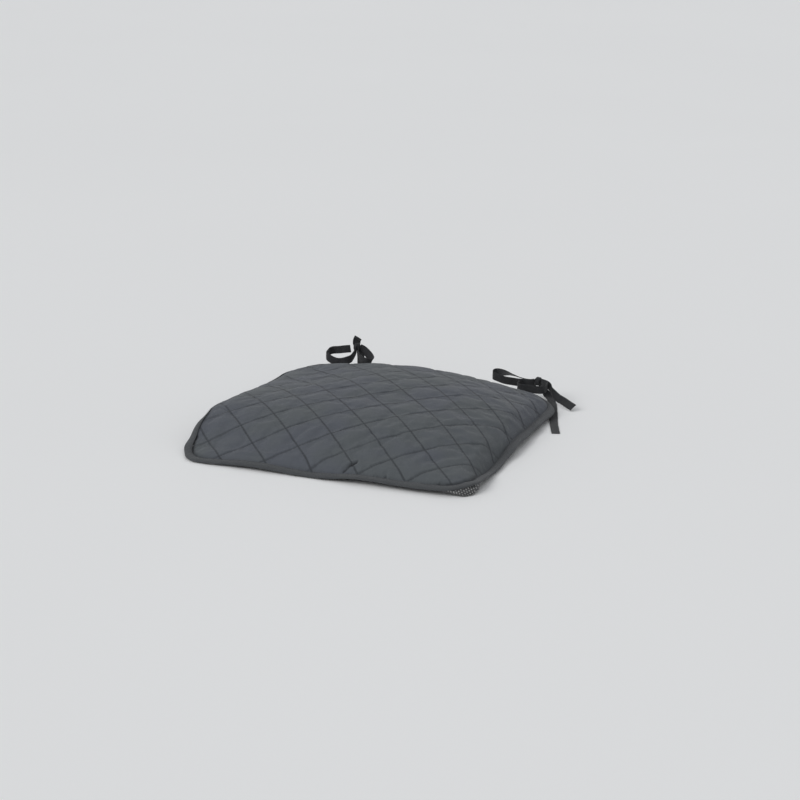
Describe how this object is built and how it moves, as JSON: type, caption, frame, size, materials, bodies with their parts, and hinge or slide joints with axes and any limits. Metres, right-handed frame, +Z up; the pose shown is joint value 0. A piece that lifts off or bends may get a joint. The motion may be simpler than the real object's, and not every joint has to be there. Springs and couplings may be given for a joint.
{
  "type": "quilted chair seat pad with ties",
  "caption": "Crowned quilted seat pad with rounded corners, a bound edge and a tape tie at each rear corner, tied in half bows as if round chair posts.",
  "frame": {"origin": "middle of the pad's plan outline, on the plane that its underside rests on", "axes": "+Z up, -Y towards the pad's front edge, +X to the right as seen from the front, +Y towards the chair's back, where the ties are"},
  "size_m": [0.4879, 0.546, 0.0734],
  "materials": {
    "cover_cloth": "dark slate grey twill with a soft sheen",
    "binding_cloth": "dark grey folded twill tape, matt",
    "backing_knit": "mid grey knit with small pale non-slip dots",
    "lining_cloth": "plain undyed nonwoven",
    "wadding_fibre": "white polyester wadding",
    "cushion_fibre": "off-white polyester fibre filling",
    "sewing_thread": "near-black sewing thread",
    "tie_tape": "near-black twill tape, matt"
  },
  "bodies": {
    "pad": {"backing": "backing_knit", "cushion_core": "cushion_fibre", "quilt_lining": "lining_cloth", "quilt_wadding": "wadding_fibre", "top_cover": "cover_cloth", "edge_binding": "binding_cloth", "binding_thread": "sewing_thread", "quilting_thread": "sewing_thread", "left_tie_band": "tie_tape", "left_knot": "tie_tape", "left_tail_up": "tie_tape", "left_bar_tack": "sewing_thread", "right_tie_band": "tie_tape", "right_knot": "tie_tape", "right_bar_tack": "sewing_thread"},
    "left_bow": {"left_loop": "tie_tape"},
    "left_tail": {"left_tail_back": "tie_tape"},
    "right_bow": {"right_loop": "tie_tape"},
    "right_outer_tail": {"right_tail_side": "tie_tape"},
    "right_inner_tail": {"right_tail_front": "tie_tape"}
  },
  "joints": [
    {"name": "left_bow_lift", "type": "hinge", "parent": "pad", "child": "left_bow", "pos_m": [-0.129, 0.258, 0.053], "axis": [-0.45, -0.893, 0], "range_deg": [0, 30]},
    {"name": "left_tail_lift", "type": "hinge", "parent": "pad", "child": "left_tail", "pos_m": [-0.129, 0.258, 0.053], "axis": [0.7521, 0.6591, 0], "range_deg": [0, 60]},
    {"name": "right_bow_lift", "type": "hinge", "parent": "pad", "child": "right_bow", "pos_m": [0.1745, 0.262, 0.029], "axis": [0, 1, 0], "range_deg": [0, 45]},
    {"name": "right_outer_tail_lift", "type": "hinge", "parent": "pad", "child": "right_outer_tail", "pos_m": [0.1745, 0.262, 0.029], "axis": [-0.5201, -0.8541, 0], "range_deg": [0, 60]},
    {"name": "right_inner_tail_swing", "type": "hinge", "parent": "pad", "child": "right_inner_tail", "pos_m": [0.1745, 0.262, 0.029], "axis": [0, 0, 1], "range_deg": [0, 35]}
  ]
}
